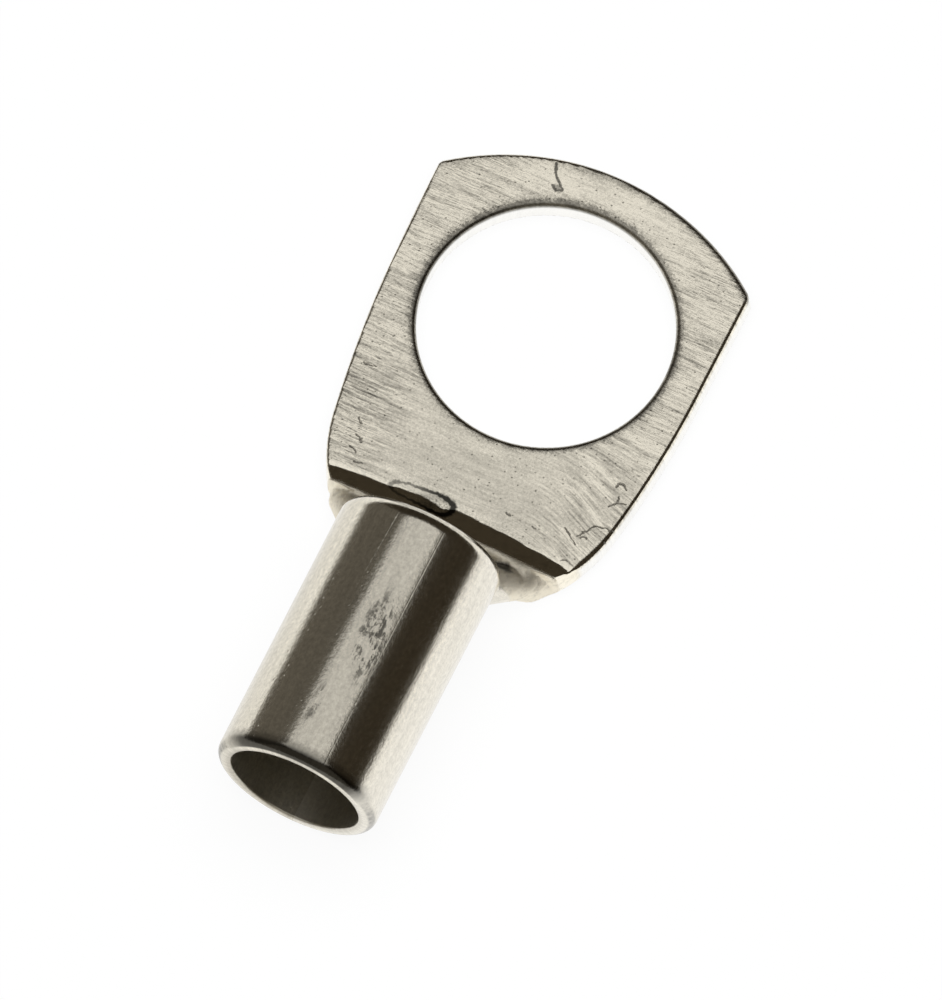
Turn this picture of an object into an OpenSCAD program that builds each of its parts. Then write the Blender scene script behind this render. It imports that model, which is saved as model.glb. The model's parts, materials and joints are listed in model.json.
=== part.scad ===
// Tube terminal (cable lug), one piece: a short copper tube whose one end stays round as the wire
// barrel, while the other is pressed flat, coined into a palm, cropped and pierced for the stud.
//
// Frame: the origin is the centre of the stud hole on the underside of the palm. +Z is up, out of
// the palm's upper face, and the barrel runs towards -Y with its mouth at the far end. The
// underside of the barrel is level with the underside of the palm, so both rest on Z = 0.

/* [Tube] */
// Outer diameter of the tube
tube_od = 7.1; // [6.4:0.05:8]
// Wall thickness of the tube
tube_wall = 0.7; // [0.55:0.05:0.9]

/* [Barrel] */
// Length of the round barrel, from the mouth to the shoulder
barrel_len = 12.2; // [9:0.1:16]
// Rounding of the barrel's outer edge at the mouth
mouth_round = 0.4; // [0.1:0.05:0.45]
// Rounding of the shoulder, where the crown turns down
shoulder_round = 0.5; // [0.3:0.05:0.7]

/* [Neck] */
// How much thicker the folded neck is than two walls of the tube
fold_gain = 0.2; // [0.1:0.05:0.3]
// Lean of the shoulder's wall away from upright, in degrees
wall_lean = 4; // [2:1:12]
// Radius of the hollow at the foot of the shoulder's wall
foot_radius = 0.6; // [0.4:0.05:0.9]
// Distance from the shoulder to the back of the folded ears
ear_setback = 0.45; // [0.3:0.05:0.7]
// Radius of an ear's back corner, seen from above
ear_radius = 1.15; // [0.8:0.05:1.6]
// Radius of the cheek between an ear and the palm's flank, seen from above
cheek_radius = 7; // [5:0.25:9]
// Direction of the cheek where it meets the ear, in degrees from the length of the lug
cheek_turn = 42; // [35:1:50]

/* [Palm] */
// Width of the palm
palm_w = 14; // [13:0.1:16]
// Thickness of the coined palm
palm_t = 1.1; // [0.9:0.05:1.4]
// Distance from the shoulder to the centre of the stud hole
hole_setback = 11.5; // [10.5:0.1:14]
// Distance from the centre of the stud hole to the tip
tip_reach = 7.15; // [6.2:0.05:9]
// Radius of the cropped tip, seen from above
tip_radius = 11; // [8.5:0.5:20]
// Radius of the palm's long flank, seen from above
flank_radius = 45; // [35:1:55]
// Direction of the flank where it meets the cheek, in degrees from the length of the lug
flank_turn = 9; // [7:1:11]
// How far the rounded sides of the palm reach in from its widest line
side_bulge = 0.3; // [0.15:0.05:0.5]

/* [Coined step] */
// Distance from the shoulder to the palm's near edge, at the sides
coin_setback = 2.15; // [1.9:0.05:2.6]
// How much further from the shoulder the near edge runs at the middle
coin_bow = 0.45; // [0.2:0.05:0.6]
// Length of the slope from the folded neck down to the palm, at the sides
coin_ramp = 0.55; // [0.4:0.05:0.8]

/* [Stud hole] */
// Diameter of the stud hole
hole_d = 10.5; // [5.3:0.1:10.8]
// Rolled-in rounding of the stamped edges, on the upper face
stamp_round = 0.2; // [0.1:0.05:0.3]

/* [Hidden] */
$fn = 96;
tinned = [0.80, 0.78, 0.72];

clear = 1;              // how far a cutter runs past the faces that it cuts
lap = 0.6;              // how far the flattened end starts inside the barrel
seat = 0.015;           // how far below the barrel's skin it starts
side_steps = 14;        // facets round one side of a ring
top_steps = 6;          // facets across the flat top of a ring
crown_flat = 0.03;      // half width of the flat that a round ring still has
flank_round = 0.5;      // share of the shoulder's rounding that its flanks get
toe_share = 0.55;       // half width of the cavity's toe where it starts, as a share of the bore's radius
toe_turn = 20;          // slope of the toe's roof where it ends, in degrees
arc_step = 15;          // degrees between rings round an arc
min_pitch = 0.012;      // least distance between two rings

// The tube: its radii, and the thickness that is left where it is pressed flat
tube_r = tube_od / 2;
bore_r = tube_r - tube_wall;
fold_t = 2 * tube_wall + fold_gain;
shoulder_y = -hole_setback;
mouth_y = shoulder_y - barrel_len;

// Side view of the shoulder: a rounding, a leaning wall and the hollow at its foot
round_y = shoulder_y - shoulder_round;
wall_top_y = round_y + shoulder_round * cos(wall_lean);
wall_top_z = tube_od - shoulder_round * (1 - sin(wall_lean));
wall_foot_z = fold_t + foot_radius * (1 - sin(wall_lean));
wall_foot_y = wall_top_y + (wall_top_z - wall_foot_z) * tan(wall_lean);
foot_y = wall_foot_y + foot_radius * cos(wall_lean);
near_y = shoulder_y + coin_setback;
ridge_y = near_y - coin_ramp;

// Plan of one side, from the ear at the back: an ear arc, a cheek arc, a flank arc and a straight
ear_y = shoulder_y + ear_setback;
cheek_y = ear_y + ear_radius * (1 - sin(cheek_turn));
flank_y = cheek_y + cheek_radius * (sin(cheek_turn) - sin(flank_turn));
straight_y = flank_y + flank_radius * sin(flank_turn);
flank_w = palm_w / 2 - flank_radius * (1 - cos(flank_turn));
cheek_w = flank_w - cheek_radius * (cos(flank_turn) - cos(cheek_turn));
ear_w = cheek_w - ear_radius * cos(cheek_turn);
waist_w = tube_r - shoulder_round * flank_round;

function mix(a, b, t) = a + (b - a) * min(1, max(0, t));
function leg(r, d) = sqrt(max(0, r * r - d * d));

// Half width of the flattened end at y
function half_width(y) =
    y >= straight_y ? palm_w / 2 :
    y >= flank_y ? palm_w / 2 - flank_radius + leg(flank_radius, straight_y - y) :
    y >= cheek_y ? flank_w - cheek_radius * cos(flank_turn)
        + leg(cheek_radius, flank_y + cheek_radius * sin(flank_turn) - y) :
    y >= ear_y ? ear_w + leg(ear_radius, ear_y + ear_radius - y) :
    y >= wall_top_y ? mix(waist_w, ear_w, (y - wall_top_y) / (ear_y - wall_top_y)) :
    y >= round_y ? waist_w + leg(shoulder_round, y - round_y) * flank_round - seat :
    tube_r - seat;

// Height of its upper side above Z = 0 at y
function top_height(y) =
    y >= ridge_y ? mix(fold_t, palm_t, (y - ridge_y) / coin_ramp) :
    y >= foot_y ? fold_t :
    y >= wall_foot_y ? fold_t + foot_radius - leg(foot_radius, foot_y - y) :
    y >= wall_top_y ? wall_foot_z + (wall_foot_y - y) / tan(wall_lean) :
    y >= round_y ? tube_od - shoulder_round + leg(shoulder_round, y - round_y) - seat :
    tube_od - seat;

// How far its middle is pushed forward at y: the slope's upper edge is straight, its lower edge bows
function forward(y) =
    y <= near_y ? mix(0, coin_bow, (y - ridge_y) / coin_ramp) :
    mix(coin_bow, 0, (y - near_y) / (straight_y - near_y));

// A ring is a section of the pressed tube: a flat floor and top, joined by half ellipses that reach
// in by side. Its middle stands forward by bow.
function ring(y, w, floor_z, top_z, side, bow = 0) =
    let (
        half_h = (top_z - floor_z) / 2,
        right = [for (i = [0 : side_steps]) let (a = 180 * i / side_steps - 90)
            [w - side + side * cos(a), floor_z + half_h * (1 + sin(a))]],
        across = [for (i = [1 : top_steps - 1]) [(w - side) * (1 - 2 * i / top_steps), top_z]],
        left = [for (i = [side_steps : -1 : 0]) [-right[i][0], right[i][1]]]
    )
    [for (p = concat(right, across, left)) [p[0], y + bow * (1 - pow(p[0] / w, 2)), p[1]]];

function flat_ring(y) =
    let (
        w = half_width(y),
        h = top_height(y),
        fold = min(w - crown_flat, h / 2)
    )
    ring(y, w, mix(seat, 0, (y - round_y) / shoulder_round), h,
        mix(fold, side_bulge, (y - ridge_y) / coin_ramp), forward(y));

// Sorts the rings' places and drops those that crowd the one before
function sorted(v) = len(v) < 2 ? v :
    concat(sorted([for (y = v) if (y < v[0]) y]), [v[0]], sorted([for (y = v) if (y > v[0]) y]));
function thinned(v) = [for (i = [0 : len(v) - 1]) if (i == 0 || v[i] - v[i - 1] > min_pitch) v[i]];

// Closed skin over a row of rings
module skin(rings) {
    n = len(rings[0]);
    last = len(rings) - 1;
    polyhedron(
        points = [for (r = rings) each r],
        faces = concat(
            [[for (i = [n - 1 : -1 : 0]) i]],
            [for (k = [0 : last - 1], i = [0 : n - 1])
                let (a = k * n + i, b = k * n + (i + 1) % n) each [[a, b, a + n], [b, b + n, a + n]]],
            [[for (i = [0 : n - 1]) last * n + i]]
        )
    );
}

// The tube's end pressed flat: shoulder wall, folded ears, coined step and palm, up to the tip
module flattened_end() {
    shoulder = [for (a = [0 : arc_step : 90 - wall_lean]) round_y + shoulder_round * sin(a)];
    foot = [for (a = [0 : arc_step : 90 - wall_lean]) foot_y - foot_radius * sin(a)];
    ear = [for (a = [cheek_turn : arc_step / 2 : 90]) ear_y + ear_radius * (1 - sin(a))];
    cheek = [for (a = [flank_turn : arc_step / 3 : cheek_turn])
        cheek_y + cheek_radius * (sin(cheek_turn) - sin(a))];
    flank = [for (a = [0 : flank_turn / 6 : flank_turn]) straight_y - flank_radius * sin(a)];
    turns = [wall_top_y, wall_foot_y, ear_y, ridge_y, near_y, tip_reach + clear];
    places = sorted(concat([round_y - lap], shoulder, foot, ear, cheek, flank, turns));
    intersection() {
        skin([for (y = thinned(places)) flat_ring(y)]);
        translate([0, 0, -clear]) linear_extrude(tube_od + 2 * clear) union() {
            translate([0, tip_reach - tip_radius]) circle(tip_radius);
            translate([-palm_w, mouth_y]) square([2 * palm_w, -mouth_y]);
        }
    }
}

// The round barrel up to its shoulder, turned about the tube's axis, with its mouth edge rounded
module barrel() {
    translate([0, mouth_y, tube_r]) rotate([-90, 0, 0]) rotate_extrude() difference() {
        square([tube_r, barrel_len - shoulder_round]);
        corner_round(tube_r, 0, mouth_round, -1);
    }
}

// What rounding takes off the outer corner of a turned profile at (x, y), facing up or down
module corner_round(x, y, r, up) {
    difference() {
        translate([x - r, up > 0 ? y - r : y - clear]) square([r + clear, r + clear]);
        translate([x - r, y - up * r]) circle(r);
    }
}

// The cavity: the bore, and the toe that closes where the folded walls meet
module cavity() {
    toe_radius = foot_radius + tube_wall;
    toe_w = bore_r * toe_share;
    turns = [for (a = [90 - wall_lean : -arc_step / 2 : toe_turn]) a];
    rings = [for (a = turns) [
        foot_y - toe_radius * sin(a),
        mix(ear_w - tube_wall, toe_w, (a - toe_turn) / (90 - toe_turn)),
        fold_t + foot_radius - toe_radius * cos(a)]];
    translate([0, mouth_y - clear, tube_r]) rotate([-90, 0, 0])
        cylinder(r = bore_r, h = barrel_len - tube_wall + clear);
    skin([for (r = concat([[rings[0][0] - lap, rings[0][1], rings[0][2]]], rings))
        ring(r[0], r[1], tube_wall, r[2], (r[2] - tube_wall) / 2)]);
}

// The stud hole, with the upper edge rolled in by the punch
module stud_hole() {
    translate([0, 0, -clear]) cylinder(d = hole_d, h = palm_t + 2 * clear);
    rotate_extrude() difference() {
        translate([0, palm_t - stamp_round]) square([hole_d / 2 + stamp_round, stamp_round + clear]);
        translate([hole_d / 2 + stamp_round, palm_t - stamp_round]) circle(stamp_round);
    }
}

// The same rolled-in edge round the cropped tip
module tip_roll() {
    translate([0, tip_reach - tip_radius, palm_t]) rotate_extrude(angle = 180)
        corner_round(tip_radius, 0, stamp_round, 1);
}

module lug() {
    color(tinned) difference() {
        union() {
            barrel();
            flattened_end();
        }
        cavity();
        stud_hole();
        tip_roll();
    }
}

lug();
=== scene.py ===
import json
import math

import bpy
import numpy as np
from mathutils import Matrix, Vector


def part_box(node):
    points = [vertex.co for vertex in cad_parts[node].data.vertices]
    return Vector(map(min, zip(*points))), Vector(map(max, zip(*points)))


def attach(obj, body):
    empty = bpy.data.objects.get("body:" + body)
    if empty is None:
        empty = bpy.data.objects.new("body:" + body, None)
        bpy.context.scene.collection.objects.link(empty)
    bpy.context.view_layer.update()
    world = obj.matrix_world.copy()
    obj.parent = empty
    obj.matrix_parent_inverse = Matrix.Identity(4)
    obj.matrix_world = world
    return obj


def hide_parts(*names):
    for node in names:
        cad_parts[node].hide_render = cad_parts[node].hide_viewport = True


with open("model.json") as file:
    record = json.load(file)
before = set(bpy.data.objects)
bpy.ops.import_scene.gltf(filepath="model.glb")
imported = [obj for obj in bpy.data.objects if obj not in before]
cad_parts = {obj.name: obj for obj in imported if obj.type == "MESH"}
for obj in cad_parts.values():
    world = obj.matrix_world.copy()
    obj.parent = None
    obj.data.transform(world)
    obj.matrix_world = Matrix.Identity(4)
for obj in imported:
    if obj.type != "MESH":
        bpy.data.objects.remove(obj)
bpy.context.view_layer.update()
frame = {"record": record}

# ---------------------------------------------------------------------------------------------
# The lug's form. One short copper tube: one end stays round as the wire barrel, the other is
# pressed flat between dies, coined down one step into the palm, cropped to an arc at the tip and
# pierced for the stud. Lengths are in millimetres, from the stud hole's centre on the underside.
# ---------------------------------------------------------------------------------------------
MM = 0.001
low, high = (np.array(corner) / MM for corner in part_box("lug"))
mounts = {mount["name"]: mount for mount in frame["record"]["mounts"]}

tube_r = (high[2] - low[2]) / 2
bore_r = mounts["wire_barrel"]["dims"]["r_mm"]
tube_wall = tube_r - bore_r
mouth_y = low[1]
palm_w = high[0] - low[0]
palm_t = mounts["palm_upper_face"]["pos_m"][2] / MM
tip_y = high[1]
hole_r = mounts["stud_hole"]["dims"]["r_mm"]

shoulder_y = -11.5
shoulder_round = 0.7
mouth_round = 0.45
wall_lean = math.radians(4)      # lean of the shoulder's upright wall
fold_gain = 0.2                  # what the two folded walls gain in the press
neck_t = 2 * tube_wall + fold_gain
ridge_y = -9.88                  # top edge of the coined slope
near_y = -8.93                   # its foot, where the palm starts
near_bow = 0.014                 # how fast the near edge falls back to the sides, per mm
foot_x = tube_r * 0.8            # half width of the barrel's foot
facet_turn = math.radians(60)    # lean of the ears' outer faces
ear_round = 0.35                 # rounding of the ears' edges
left_lean = 0.29                 # how much further in the left side runs

# Plan of one side: an ear arc by the barrel, a cheek arc, a long flank arc, then straight
ear_y = shoulder_y + 0.45
ear_radius = 1.15
cheek_radius, cheek_turn = 7.0, math.radians(42)
flank_radius, flank_turn = 45.0, math.radians(9)
tip_radius = 11.0
ear_cy = ear_y + ear_radius
cheek_y = ear_y + ear_radius * (1 - math.sin(cheek_turn))
flank_y = cheek_y + cheek_radius * (math.sin(cheek_turn) - math.sin(flank_turn))
straight_y = flank_y + flank_radius * math.sin(flank_turn)
flank_cx = palm_w / 2 - flank_radius
cheek_cx = flank_cx + (flank_radius - cheek_radius) * math.cos(flank_turn)
cheek_cy = straight_y - (flank_radius - cheek_radius) * math.sin(flank_turn)
ear_cx = cheek_cx + (cheek_radius - ear_radius) * math.cos(cheek_turn)


def cut(a, b, r):
    """Distance outside both solids' overlap, its outer corner rounded."""
    return np.minimum(-r, np.maximum(a, b)) + np.hypot(np.maximum(a + r, 0), np.maximum(b + r, 0))


def join(a, b, r):
    """Distance outside either solid, the corner between them filled by a fillet."""
    return np.maximum(r, np.minimum(a, b)) - np.hypot(np.maximum(r - a, 0), np.maximum(r - b, 0))


def step(v, start, end):
    """Smooth rise from 0 at start to 1 at end."""
    t = np.clip((v - start) / (end - start), 0, 1)
    return t * t * (3 - 2 * t)


def plan(x, y):
    """Distance outside the flattened end's outline, seen from above. The left side is leaner."""
    x = np.abs(x) + left_lean * (x < 0) * step(-y, -5, 7.5)
    flank = np.hypot(x - flank_cx, y - straight_y) - flank_radius
    cheek = np.hypot(x - cheek_cx, y - cheek_cy) - cheek_radius
    ear = np.hypot(x - ear_cx, y - ear_cy) - ear_radius
    on_flank = np.arctan2(straight_y - y, x - flank_cx) < flank_turn
    on_cheek = np.arctan2(cheek_cy - y, x - cheek_cx) < cheek_turn
    middle = np.maximum(cheek, ear_y - y)
    side = np.where(y > straight_y, x - palm_w / 2, np.where(
        on_flank, flank, np.where(on_cheek | (x < ear_cx), middle, ear)))
    root = np.maximum(x - foot_x, shoulder_y - 0.6 - y)
    return np.minimum(side, root)


def dimple(x, y, at, size, depth):
    """A soft hollow pressed in at a place: its half lengths along x and y, and its depth."""
    return depth * np.exp(-((x - at[0]) / size[0]) ** 2 - ((y - at[1]) / size[1]) ** 2)


def upper_face(x, y, z):
    """Distance above the folded neck, the coined slope and the palm."""
    # The near edge is bowed and slightly wavy, and stands out in two places
    all_y = 9
    near = near_y - near_bow * x * x - dimple(x, y, (-3.2, near_y), (1.4, all_y), 0.08)
    near = near + 0.018 * np.sin(2.9 * x + 0.6) + 0.006 * np.sin(8.3 * x)
    near = near - dimple(x, y, (-0.35, near_y), (0.4, all_y), 0.16)
    fall = (neck_t - palm_t) / (near_y - ridge_y)
    slope = (z - palm_t + (y - near) * fall) / np.hypot(1, fall)
    # The neck sags to its sides, and the fold left hollows: each one's place, size and depth
    neck = neck_t - 0.4 * near_bow * x * x * fall
    for place, size, depth in (
            ((0, -10.6), (2.6, 0.4), 0.2),
            ((2.95, -10.5), (0.6, 0.22), 0.3),
            ((-3.65, -10.15), (0.55, 0.18), 0.13)):
        neck = neck - dimple(x, y, place, size, depth)
    foot_fillet, ridge_round = 0.04, 0.06
    return cut(z - neck, join(slope, z - palm_t, foot_fillet), ridge_round)


def ear_lobe(x, y, z):
    """Distance outside the folded tube's flank, which runs down from the barrel into an ear."""
    x = np.abs(x)
    root, root_r = np.array([2.45, shoulder_y - 0.1, 1.7]), 0.95
    tip, tip_r = np.array([4.2, ear_cy - 0.4, 0.55]), 0.55
    run = tip - root
    t = ((x - root[0]) * run[0] + (y - root[1]) * run[1] + (z - root[2]) * run[2]) / run.dot(run)
    t = np.clip(t, 0, 1)
    away = np.sqrt(sum((p - r - t * d) ** 2 for p, r, d in zip((x, y, z), root, run)))
    return away - root_r - (tip_r - root_r) * t


def tube(x, y, z):
    """Distance outside the tube's outer skin: barrel, shoulder wall and flattened end."""
    wall = (y - shoulder_y - (2 * tube_r - z) * math.tan(wall_lean)) * math.cos(wall_lean)
    barrel = cut(np.hypot(x, z - tube_r) - tube_r, wall, shoulder_round)
    outline = plan(x, y)
    # The ears' outer faces lean in over their lower rim, as far as the ridge
    ahead = step(y, ridge_y - 0.2, ridge_y + 0.05)
    facet = (z - 0.55) * math.cos(facet_turn) + (outline + 0.12) * math.sin(facet_turn)
    flat = cut(upper_face(x, y, z), facet - 1.5 * ahead, ear_round)
    # From there on the side wall bulges low down and is drawn in above, most on the right
    swell = 0.03 + 0.14 * step(x, -2, 2)
    bulge = swell * ahead * (np.minimum(z / palm_t, 1) - 0.35) ** 2 / 0.42
    # The upper edge sharpens from the ears to the palm, and is worn round on the right
    edge = ear_round - 0.27 * step(y, near_y - 1.5, near_y - 0.5)
    worn = step(x, 1, 3) * step(y, near_y - 0.4, near_y + 0.3)
    edge = edge + worn * (0.16 - 0.11 * step(y, near_y + 0.5, near_y + 3))
    # Under the barrel the flattened end tapers in to the barrel's foot
    taper = np.minimum(np.abs(x) - foot_x - 2 * (y - ear_y), ear_y - y)
    flat = cut(np.maximum(flat, -z), np.maximum(outline, taper) + bulge, edge)
    lobe_fillet, foot_fillet = 0.3, 0.2
    return join(barrel, join(flat, ear_lobe(x, y, z), lobe_fillet), foot_fillet)


def lug(x, y, z):
    """Distance outside the finished lug's metal."""
    outer = tube(x, y, z)
    cavity_y, cavity_round, bore_lip = shoulder_y + 0.9, 0.3, 0.1
    cavity = cut(outer + tube_wall, y - cavity_y, cavity_round)
    metal = cut(cut(outer, mouth_y - y, mouth_round), -cavity, bore_lip)
    # The cropping die and the punch roll the upper edges over, and leave the lower ones sharp
    upper = step(z, 0.3 * palm_t, 0.8 * palm_t)
    tip = np.hypot(x, y - tip_y + tip_radius) - tip_radius
    tip_roll = 0.08 + (0.06 + 0.1 * step(x, -2, 4)) * upper
    hole_roll = 0.06 + 0.17 * upper
    metal = np.where(y > near_y, cut(metal, tip, tip_roll), metal)
    return cut(metal, hole_r - np.hypot(x, y), hole_roll)


def lug_mesh(name, pitch):
    """Nets a surface over a grid, then settles each point on the form and takes its normal."""
    sides = [np.arange(a - 2.5 * pitch, b + 3 * pitch, pitch) for a, b in zip(low, high)]
    x, y, z = np.meshgrid(*sides, indexing="ij")
    f = lug(x, y, z)
    corner = np.stack([x, y, z], -1)
    count = np.zeros(np.array(f.shape) - 1)
    total = np.zeros(count.shape + (3,))
    cell = [slice(None, -1), slice(1, None)]
    # Each grid edge that crosses the surface gives its crossing point to the four cells round it
    crossings = []
    for axis in range(3):
        a = [slice(None)] * 3
        b = [slice(None)] * 3
        a[axis], b[axis] = cell
        fa, fb = f[tuple(a)], f[tuple(b)]
        at = np.argwhere((fa < 0) != (fb < 0))
        ia, ib = tuple(at.T), tuple((at + np.eye(3, dtype=int)[axis]).T)
        t = f[ia] / (f[ia] - f[ib])
        point = corner[ia] + (corner[ib] - corner[ia]) * t[:, None]
        p, q = [k for k in range(3) if k != axis]
        for dp in (0, 1):
            for dq in (0, 1):
                home = at.copy()
                home[:, p] -= dp
                home[:, q] -= dq
                np.add.at(count, tuple(home.T), 1)
                np.add.at(total, tuple(home.T), point)
        crossings.append((axis, at, f[ia] < 0))
    # A cell's point is the mean of what it got, and each crossed edge gets one face round it
    used = np.argwhere(count > 0)
    number = np.full(count.shape, -1)
    number[tuple(used.T)] = np.arange(len(used))
    points = total[tuple(used.T)] / count[tuple(used.T)][:, None]
    faces = []
    for axis, at, inside in crossings:
        p, q = [(1, 2), (2, 0), (0, 1)][axis]
        ring = []
        for dp, dq in ((0, 0), (1, 0), (1, 1), (0, 1)):
            home = at.copy()
            home[:, p] -= dp
            home[:, q] -= dq
            ring.append(number[tuple(home.T)])
        ring = np.stack(ring, 1)
        ring[~inside] = ring[~inside][:, ::-1]
        faces.append(ring)
    faces = np.concatenate(faces)

    def slope_at(p, h=0.004):
        steps = h * np.eye(3)
        return np.stack([(lug(*(p + e).T) - lug(*(p - e).T)) / (2 * h) for e in steps], 1)

    # A few steps down the slope of the distance bring the points onto the form itself
    least_slope = 0.2
    for _ in range(4):
        g = slope_at(points)
        steepness = np.maximum((g * g).sum(1), least_slope)[:, None]
        shift = -lug(*points.T)[:, None] * g / steepness
        points += np.clip(shift, -pitch / 2, pitch / 2)
    points = np.clip(points, low, high)
    g = slope_at(points)
    normals = g / np.linalg.norm(g, axis=1)[:, None]
    mesh = bpy.data.meshes.new(name)
    mesh.from_pydata((points * MM).tolist(), [], faces.tolist())
    mesh.polygons.foreach_set("use_smooth", np.ones(len(faces), bool))
    mesh.normals_split_custom_set_from_vertices(normals.tolist())
    mesh.update()
    skin = bpy.data.objects.new(name, mesh)
    bpy.context.collection.objects.link(skin)
    print(name, len(points), "points,", 2 * len(faces), "triangles")
    return skin


skin_pitch = 0.112
skin = lug_mesh("lug_skin", skin_pitch)
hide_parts("lug")
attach(skin, "root")


# ---------------------------------------------------------------------------------------------
# The lug's finish: a thin coat of tin over copper, warm silver grey. The drawn barrel keeps its
# gloss; the coined palm is dull, with fine rolling lines, pits and dark stains.
# ---------------------------------------------------------------------------------------------
class Wire:
    """A node's output socket. Arithmetic on wires adds the nodes that work it out."""

    def __init__(self, tree, socket=None):
        self.tree, self.socket = tree, socket

    def node(self, kind, settings=None, values=None):
        """Adds a node: its settings first, then the values or wires of its inputs."""
        new = self.tree.nodes.new(kind)
        for key, value in (settings or {}).items():
            setattr(new, key, value)
        for key, value in (values or {}).items():
            if isinstance(value, Wire):
                self.tree.links.new(value.socket, new.inputs[key])
            else:
                new.inputs[key].default_value = value
        return Wire(self.tree, new.outputs[0] if new.outputs else None)

    def __getitem__(self, name):
        """Another output of the same node."""
        return Wire(self.tree, self.socket.node.outputs[name])

    def math(self, operation, *values):
        return self.node("ShaderNodeMath", {"operation": operation}, dict(enumerate(values)))

    def vector(self, operation, *values):
        return self.node("ShaderNodeVectorMath", {"operation": operation}, dict(enumerate(values)))

    def __add__(self, other):
        return self.math("ADD", self, other)

    def __sub__(self, other):
        return self.math("SUBTRACT", self, other)

    def __rsub__(self, other):
        return self.math("SUBTRACT", other, self)

    def __mul__(self, other):
        return self.math("MULTIPLY", self, other)

    def __pow__(self, other):
        return self.math("POWER", self, other)

    __radd__, __rmul__ = __add__, __mul__


metal = bpy.data.materials.new("tinned_copper")
metal.use_nodes = True
metal.node_tree.nodes.clear()
maker = Wire(metal.node_tree)
metres = maker.node("ShaderNodeTexCoord")["Object"]
place = metres.vector("MULTIPLY", metres, (1 / MM,) * 3)
parts = place.node("ShaderNodeSeparateXYZ", {}, {0: place})
x, y, z = parts["X"], parts["Y"], parts["Z"]


def rise(value, start, end):
    """Smooth mask, 0 at start and 1 at end, whichever is larger."""
    return value.node("ShaderNodeMapRange", {"interpolation_type": "SMOOTHSTEP"},
                      {"Value": value, "From Min": start, "From Max": end})


def reach(across, along):
    """Distance from the crossing of two axes."""
    return (across * across + along * along) ** 0.5


def triple(a, b, c):
    """One vector from three values or wires."""
    return maker.node("ShaderNodeCombineXYZ", {}, {0: a, 1: b, 2: c})


def noise(where, fine, detail=3, rough=0.5):
    """Cloudy noise about 0, mostly from -1 to 1, with about `fine` clouds in a unit of where."""
    cloud = where.node("ShaderNodeTexNoise", {}, {
        "Vector": where, "Scale": fine, "Detail": detail, "Roughness": rough})
    return (cloud - 0.5) * 3


def specks(across, along, fine, size, share):
    """Round specks on a share of the cells of a flat grid: 1 in a speck, 0 outside."""
    cell = across.node("ShaderNodeTexVoronoi", {"voronoi_dimensions": "2D"},
                       {"Vector": triple(across, along, 0), "Scale": fine})
    lot = cell.node("ShaderNodeSeparateColor", {}, {0: cell["Color"]})
    return rise(cell["Distance"], size, size * 0.4) * rise(lot, share + 0.02, share)


def patch(across, along, wide, long):
    """1 in the middle of an oval patch about the crossing of two axes, 0 outside."""
    return rise(reach(across * (1 / wide), along * (1 / long)), 1, 0.4)


def scaled(vector, size):
    """A vector times a wire."""
    return size.node("ShaderNodeVectorMath", {"operation": "SCALE"}, {0: vector, "Scale": size})


def stroke(*points):
    """Distance on the palm from a bent line through the points."""
    nearest = None
    for (ax, ay), (bx, by) in zip(points, points[1:]):
        dx, dy = bx - ax, by - ay
        long = dx * dx + dy * dy
        rest = ragged.vector("SUBTRACT", ragged, (ax, ay, 0))
        share = rest.vector("DOT_PRODUCT", rest, (dx / long, dy / long, 0))["Value"]
        share = share.node("ShaderNodeClamp", {}, {"Value": share})
        gone = scaled((dx, dy, 0), share)
        away = rest.vector("LENGTH", rest.vector("SUBTRACT", rest, gone))["Value"]
        nearest = away if nearest is None else nearest.math("MINIMUM", nearest, away)
    return nearest


def line(width, *points):
    """1 along a bent line of that width, 0 beside it."""
    return rise(stroke(*points), width, width * 0.3)


# Where each stretch of the metal lies
turn = x.math("ARCTAN2", x, z - tube_r) * (180 / math.pi)
depth = reach(x, z - tube_r)
barrel = rise(y, shoulder_y + 0.12, shoulder_y - 0.05)
bore = barrel * rise(depth, bore_r + 0.3, bore_r + 0.1)
palm = rise(y, near_y - 0.25, near_y + 0.1)
ears = (1 - barrel) * rise(y, ridge_y + 0.1, ridge_y - 0.1)
from_hole = reach(x, y) - hole_r
from_tip = tip_radius - reach(x, y - (tip_y - tip_radius))
upper = rise(z, palm_t - 0.4, palm_t - 0.2)
rim_wall = palm * rise(z, palm_t - 0.1, palm_t - 0.3) * rise(z, 0.01, 0.09)

# The palm: fine rolling lines across it, strongest on its flanks, with dashes, pits and grain
cloud = noise(place, 0.8)
bend = rise(x, 2, 6) * rise(y, -2.5, -7) * (x - 2) * 0.27
course = y + noise(place, 0.45, 2) * 0.06 + bend
rolled = noise(triple(x * 0.6, course * 7.5, z * 0.5), 1, 4, 0.7)
coarse = noise(triple(x * 0.5, course * 2.2, z * 0.5), 1, 3)
worn = patch(x - 5.7, y + 2.4, 0.7, 0.5) + patch(x - 5.9, y + 4.25, 0.8, 0.6)
worn = worn + patch(x + 5, y + 7.7, 0.8, 1.2) + patch(x + 5.4, y + 3.8, 0.6, 0.9)
dashes = rise(noise(triple(x * 3, course * 11, z), 1, 3, 0.6) + worn * 0.35, 0.55, 0.85)
flanks = rise(x.math("ABSOLUTE", x), 2.2, 5) * 0.7 + rise(y, 3.5, 6) * 0.15 + 0.35
flanks = flanks + rise(x, -3, -4.6) * rise(y, -3.5, -5.5) * 0.3
grain = noise(place, 9, 3, 0.85)
dots = specks(x, y, 2.6, 0.11, 0.35) * rise(cloud, -0.8, 0.4) * upper
palm_tone = 1 + (rolled * 0.8 + coarse * 0.25) * flanks + grain * 0.42 + cloud * 0.08
palm_tone = palm_tone * (1 - dots * 0.5) * (1 - dashes * flanks * 0.5)
# The palm is painted lighter towards the tip: painted light
palm_tone = palm_tone * (rise(y, -7, 4) * 0.22 + 1.02)
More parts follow.
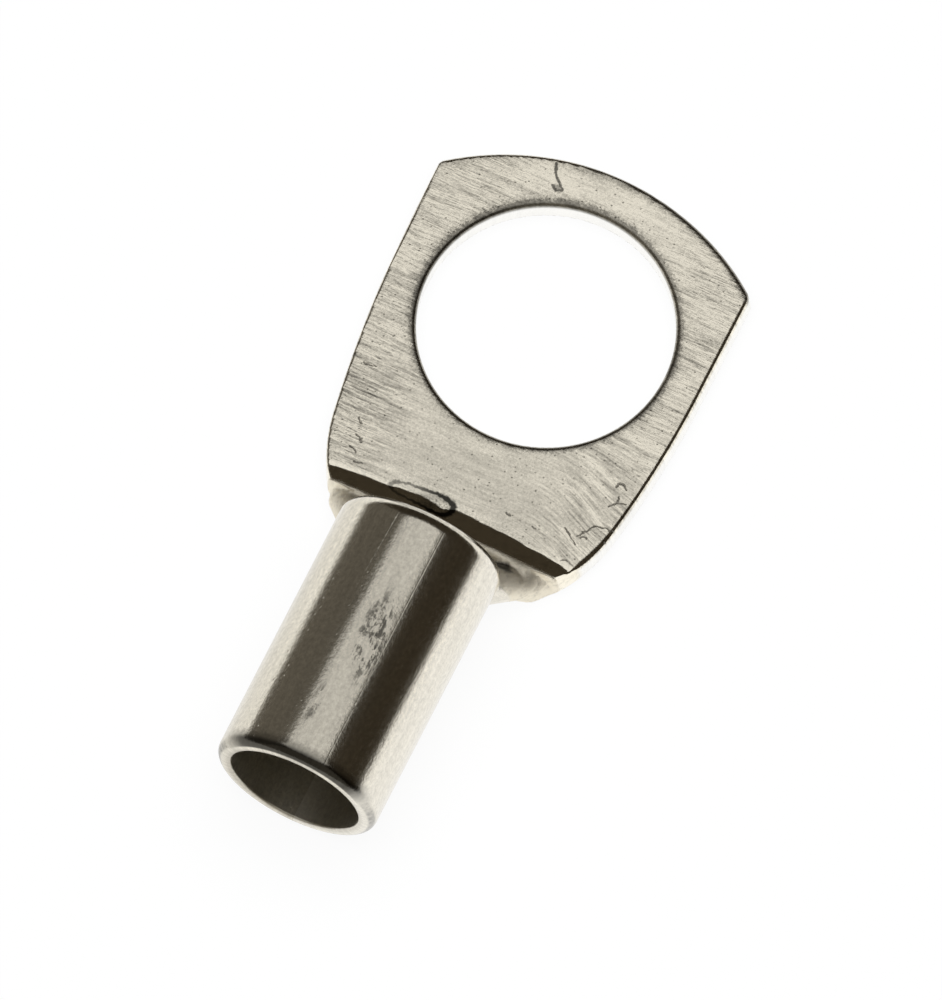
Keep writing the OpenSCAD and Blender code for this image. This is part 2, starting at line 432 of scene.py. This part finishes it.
smears = rise(noise(place, 1.8, 4, 0.65), 0.1, 0.9) * 0.2
palm_tone = palm_tone * (1 - patch(x - 0.5, y + 7.4, 5, 1.6) * 0.12) * (1 - smears)

# The place on the palm, frayed a little, so that drawn strokes have ragged edges
fray = place.node("ShaderNodeTexNoise", {}, {"Vector": place, "Scale": 5, "Detail": 3})["Color"]
fray = fray.vector("SUBTRACT", fray, (0.5, 0.5, 0.5))
ragged = fray.vector("MULTIPLY_ADD", fray, (0.22, 0.22, 0), triple(x, y, 0))

# Dark bands round the hole and along the tip: painted shade on their rolled edges, mottled as grime
# that the punch and the cropping die left
smudge = noise(place, 3.5, 4, 0.65) * 0.25 + 0.8
speckle = grain * 0.16 + noise(place, 2.5, 3) * 0.06
worst = rise(y - x, -1, 7) * 0.5 + rise(x, 4.2, 5.4) * 0.35 + 0.4
ring = rise(from_hole + speckle, 0.75, 0.02) * smudge * worst
ring = ring + rise(from_hole + speckle, 0.4, 0.22) * 0.5
tip_edge_shade = rise(from_tip + speckle * 0.8, 0.5, 0.1) * (rise(x, -4, 2) * 0.7 + 0.3)
edge_shade_and_grime = ring.math("MAXIMUM", ring, tip_edge_shade) * palm * upper

# Cracks and dents on the palm: each one's width, then the points along it
marks = (
    (0.045, (5.1, -7.75), (5.55, -7.05), (5.95, -6.97), (6.3, -6.92)),
    (0.055, (5.24, -7.76), (5.34, -7.63), (5.49, -7.71)),
    (0.055, (5.62, -5.12), (5.64, -4.97), (5.78, -4.9), (6.0, -5.08)),
    (0.045, (5.7, -6.0), (5.91, -5.73), (5.87, -5.45)),
    (0.04, (5.91, -5.73), (6.24, -5.67)),
    (0.035, (4.5, -7.65), (5.15, -8.11)),
    (0.05, (2.05, -8.08), (2.26, -8.13)),
    (0.05, (3.28, -8.18), (3.48, -8.2)),
    (0.05, (4.98, -9.02), (5.12, -8.86), (5.51, -9.01)),
    (0.05, (-5.1, -6.9), (-4.85, -7.1)),
    (0.06, (-4.85, -7.6), (-4.6, -7.7), (-4.55, -7.84)),
    (0.05, (-4.9, -8.18), (-4.52, -8.3)),
    (0.055, (-4.45, -8.72), (-4.15, -8.67)),
    (0.04, (-5.95, -4.65), (-5.43, -4.63)),
)
cracks = line(*marks[0])
for mark in marks[1:]:
    cracks = cracks.math("MAXIMUM", cracks, line(*mark))
cracks = cracks * rise(rolled + grain, -0.9, 0.4) * upper

# A drop that dried on the near edge, darkest round its blunt right end, and a drip at the tip
spill = ragged.node("ShaderNodeSeparateXYZ", {}, {0: ragged})
blunt = (spill["X"] + 1.3) * 0.69
pool = reach(blunt * blunt, (spill["Y"] + 8.97) * (1.8 - spill["X"] * 0.46))
right_end = rise(x, -2.2, -0.6)
from_shore = pool.math("ABSOLUTE", pool - 0.9) * (1 - right_end * 0.3)
shore = rise(from_shore, 0.2, 0.08) * (right_end * 0.33 + 0.65)
shade = rise(pool, 0.95, 0.75) * rise(x, -1.6, -0.9) * rise(grain + smudge, 0.3, 1.4) * 0.75
drop = shore.math("MAXIMUM", shore, shade)
drip = stroke((-2.7, 6.58), (-2.53, 6.23), (-2.29, 5.91), (-1.98, 5.63), (-2.2, 5.52), (-2.4, 5.66))
drop = drop.math("MAXIMUM", drop, rise(drip, 0.09, 0.03) * 0.85)
blob = patch(spill["X"] + 2.17, spill["Y"] - 5.62, 0.3, 0.22) * 0.6
dried = drop.math("MAXIMUM", drop, blob) * upper

# The palm's near edge, painted lighter: a painted highlight along the bright line at the foot of
# the slope
near_edge_highlight = rise(y - (near_y - x * x * near_bow), 0.16, 0.02) * palm

# The barrel: drawing lines along it, orange peel that frays each reflection's edge, pitted stains
drawn = noise(triple(turn * 0.16, y * 0.22, 0), 1, 3, 0.6)
peel = noise(place, 7, 3, 0.6)
mottle = noise(triple(turn * 0.35, y * 4, 0), 1, 4, 0.75)
from_left = turn + 14.5 - (y + 13.8) * 0.75
left_groove = rise(from_left.math("ABSOLUTE", from_left), 0.9, 0) * rise(y, -18.5, -14) * 0.6
from_right = turn - 19.3
right_groove = rise(from_right.math("ABSOLUTE", from_right), 0.6, 0) * 0.3
grooves = left_groove * rise(mottle, -0.6, 0.3) + right_groove * rise(drawn, -0.6, 0.4)
nicks = specks(turn * 0.062, y, 2.2, 0.12, 0.3) * rise(turn, 0, -12) * 0.6
blotch = noise(triple(turn * 0.14, y * 1.3, 0), 1, 4, 0.7)
fibre = noise(triple(turn * 0.5, y * 0.8, 0), 1, 3, 0.6)
stain = patch(turn - 9 + (y + 17.5) * 1.5, y + 17.5, 15, 2.9) * rise(turn, 21, 19)
stain = stain.math("MAXIMUM", stain, patch(turn + 4.5, y + 21.2, 5, 1.3) * 0.7)
pitted = stain * rise(blotch + mottle * 0.6 + fibre * 0.5, -0.1, 0.5)
barrel_tone = (1 + mottle * 0.3 + drawn * 0.12) * (1 - pitted * 0.82) * (1 + stain * fibre * 0.25)
# Painted shade: the top band, where the softbox shows, is darker, and so are the bore and the left
# flank
barrel_tone = barrel_tone * (1 - rise(turn, 28, 6) * rise(turn, -28, -6) * 0.2) * (1 - bore * 0.12)
barrel_tone = barrel_tone * (rise(turn, -35, -60) * -0.12 + 1.02)

# The mouth's rounded edge: a dark line of painted shade round it, which spreads inwards and onto
# the barrel at the top
crown = rise(z, 3.5, 6.5)
rounding = depth + peel * 0.02 + crown * 0.1
mouth_edge_shade = rise(rounding, tube_r - 0.3, tube_r - 0.17)
mouth_edge_shade = mouth_edge_shade * rise(rounding - crown * 0.1, tube_r, tube_r - 0.07)
mouth_edge_shade = mouth_edge_shade * rise(y, mouth_y + 0.5, mouth_y + 0.3) * rise(mottle - crown, -1.2, 0.6)
crown_edge_shade = rise(depth + peel * 0.01, tube_r - 0.4, tube_r - 0.3) * rise(z, 4.7, 6.1)
crown_edge_shade = crown_edge_shade * rise(y + mottle * 0.08, mouth_y + 0.8, mouth_y + 0.45)
crown_edge_shade = crown_edge_shade * (rise(y, mouth_y + 0.48, mouth_y + 0.25) * 0.45 + 0.43)
mouth_edge_shade = mouth_edge_shade.math("MAXIMUM", mouth_edge_shade * 0.8, crown_edge_shade)

# The folded ears: dull and mottled, painted lighter than the tin elsewhere as painted light, with a
# crumpled hollow beside the barrel on the right painted dark as painted shade
ear_mottle = noise(place, 3.2, 4, 0.7)
creases = noise(triple(turn * 0.3, y * 3, x * 3), 1, 3)
shaded_hollow = rise(reach((x - 2.95) * 1.1, (y + 10.5) * 2.2) + creases * 0.15, 0.8, 0.4) * ears * upper
ear_tone = 1.3 + ear_mottle * 0.45

# All of it together: the tone of the metal, its roughness and its relief
tone = barrel_tone * barrel + palm_tone * palm + ear_tone * (1 - barrel) * (1 - palm)
tone = tone * (1 - edge_shade_and_grime * 0.62) * (1 - palm * cracks * 0.6) * (1 - dried * 0.96)
tone = tone * (1 + near_edge_highlight * 0.12) * (1 - mouth_edge_shade) * (1 - shaded_hollow * 0.85)
rough = barrel * 0.18 + palm * 0.15 + ears * 0.55 + bore * 0.2 + edge_shade_and_grime * 0.15 + peel * 0.04
rough = rough + (1 - barrel) * (1 - ears) * (1 - palm) * 0.12
barrel_height = peel * 0.0018 + drawn * 0.0015 - grooves * 0.006 - pitted * 0.008 - nicks * 0.006
palm_height = rolled * flanks * 0.004 + grain * 0.001 - cracks * 0.012 - dots * 0.006
height = barrel * barrel_height + palm * palm_height
height = height + ears * ear_mottle * 0.015 + shaded_hollow * creases * 0.03
bumped = maker.node("ShaderNodeBump", {}, {"Height": height, "Distance": MM})
tin_colour, sheen_white = (0.75, 0.703, 0.595), (0.99, 0.985, 0.965, 1)
brightest = 1.33
tin = scaled(tin_colour, tone.math("MINIMUM", tone, brightest))
# The palm's side walls and the right of the barrel are painted paler, towards white, so that the
# table shows brighter in them: a painted reflection
painted_sheen = rim_wall * 0.85 + rise(turn, 40, 65) * barrel * 0.2
colour = tin.node("ShaderNodeMix", {"data_type": "RGBA"}, {0: painted_sheen, 6: tin, 7: sheen_white})[2]
shader = maker.node("ShaderNodeBsdfPrincipled", {}, {
    "Base Color": colour, "Metallic": 1.0, "Roughness": rough, "Normal": bumped})
maker.node("ShaderNodeOutputMaterial", {}, {"Surface": shader})
skin.data.materials.append(metal)


# ---------------------------------------------------------------------------------------------
# The white table that the lug lies on, and the booth round it with a softbox and a fill lamp above.
# The booth shows only in the metal. The table is bright, and keeps a faint shadow. Here lengths
# are in metres.
# ---------------------------------------------------------------------------------------------
def staged(name, points, faces):
    """A piece of the setting, which is no part of the lug."""
    mesh = bpy.data.meshes.new(name)
    mesh.from_pydata(points, [], faces)
    made = bpy.data.objects.new(name, mesh)
    bpy.context.collection.objects.link(made)
    return made


def plain(name, build):
    """A material whose surface is what build makes of an empty node tree."""
    material = bpy.data.materials.new(name)
    material.use_nodes = True
    material.node_tree.nodes.clear()
    start = Wire(material.node_tree)
    start.node("ShaderNodeOutputMaterial", {}, {"Surface": build(start)})
    return material


def glow(start, colour):
    """An even light of that colour."""
    return start.node("ShaderNodeEmission", {}, {"Color": colour, "Strength": 1.0})


def seen(start):
    """1 for what the camera, a glossy surface or glass sees, 0 for what only lights a surface."""
    path = start.node("ShaderNodeLightPath")
    surface = path.math("MAXIMUM", path["Is Camera Ray"], path["Is Glossy Ray"])
    return path.math("MAXIMUM", surface, path["Is Transmission Ray"])


def table_top(start):
    """White cloth that glows where it is seen, and lets through what looks up from below."""
    cloth = start.node("ShaderNodeBsdfDiffuse", {}, {"Color": (0.9, 0.9, 0.9, 1)})
    white = glow(start, (1, 1, 1, 1))
    through = start.node("ShaderNodeBsdfTransparent")
    face = start.node("ShaderNodeMixShader", {}, {0: seen(start) * 0.92, 1: cloth, 2: white})
    back = start.node("ShaderNodeNewGeometry")["Backfacing"]
    return start.node("ShaderNodeMixShader", {}, {0: back, 1: face, 2: through})


def screen(name, points, faces, colour):
    """A plain glowing surface that only the metal reflects."""
    made = staged(name, points, faces)
    made.data.materials.append(plain(name, lambda start: glow(start, colour)))
    made.visible_camera = False
    made.visible_diffuse = False
    made.visible_shadow = False


def square(height):
    """Corners of the booth's whole square at a height."""
    far = 0.6
    return [(-far, -far, height), (far, -far, height), (far, far, height), (-far, far, height)]


table = staged("table", square(0), [(0, 1, 2, 3)])
table.data.materials.append(plain("white_table", table_top))

# Walls on arcs round the lug: where each starts and how far it turns, in degrees, and its colour
wall_h, wall_d, wall_steps = 0.5, 0.32, 24
for name, first, arc, colour in (
        ("grey_wall", 140, 90, (0.115, 0.105, 0.09, 1)),
        ("black_wall", -40, 180, (0.036, 0.029, 0.020, 1)),
        ("pale_wall", -130, 90, (0.27, 0.25, 0.215, 1))):
    turns = [math.radians(first + arc * i / wall_steps) for i in range(wall_steps + 1)]
    foot = [(wall_d * math.cos(a), wall_d * math.sin(a), 0) for a in turns]
    head = [(px, py, wall_h) for px, py, _ in foot]
    over = wall_steps + 1
    panels = [(i, i + 1, i + 1 + over, i + over) for i in range(wall_steps)]
    screen(name, foot + head, panels, colour)
screen("roof", square(wall_h), [(0, 3, 2, 1)], (0.02, 0.02, 0.02, 1))


def lamp(name, size, height, power, shows):
    """A round lamp over the lug, which shows in the metal or not."""
    data = bpy.data.lights.new(name, "AREA")
    data.shape = "DISK"
    data.size = size
    data.energy = power
    made = bpy.data.objects.new(name, data)
    made.location = (0, 0, height)
    made.visible_glossy = shows
    bpy.context.collection.objects.link(made)


lamp("softbox", 0.26, 0.22, 0.13, True)
lamp("fill", 0.5, 0.35, 1.7, False)

world = bpy.data.worlds.new("white_room")
bpy.context.scene.world = world
world.use_nodes = True
world.node_tree.nodes.clear()
air = Wire(world.node_tree)
air.node("ShaderNodeOutputWorld", {}, {"Surface": air.node(
    "ShaderNodeBackground", {}, {"Color": (1, 1, 1, 1), "Strength": seen(air)})})


# ---------------------------------------------------------------------------------------------
# The camera, without perspective: above the barrel's mouth, a little to the right. It is aimed at
# the palm's upper face, between the stud hole and the coined slope.
# ---------------------------------------------------------------------------------------------
camera_data = bpy.data.cameras.new("camera")
camera_data.type = "ORTHO"
camera_data.ortho_scale = 0.0404
camera_data.clip_start, camera_data.clip_end = 0.01, 2.0
camera = bpy.data.objects.new("camera", camera_data)
bpy.context.collection.objects.link(camera)
camera.rotation_euler = [math.radians(angle) for angle in (22.44, -0.51, 25.53)]
aim = Vector((0.551, -8.196, palm_t)) * MM
distance = 0.2
camera.location = aim + camera.rotation_euler.to_matrix() @ Vector((0, 0, distance))
bpy.context.scene.camera = camera
bpy.context.scene.view_settings.view_transform = "Standard"
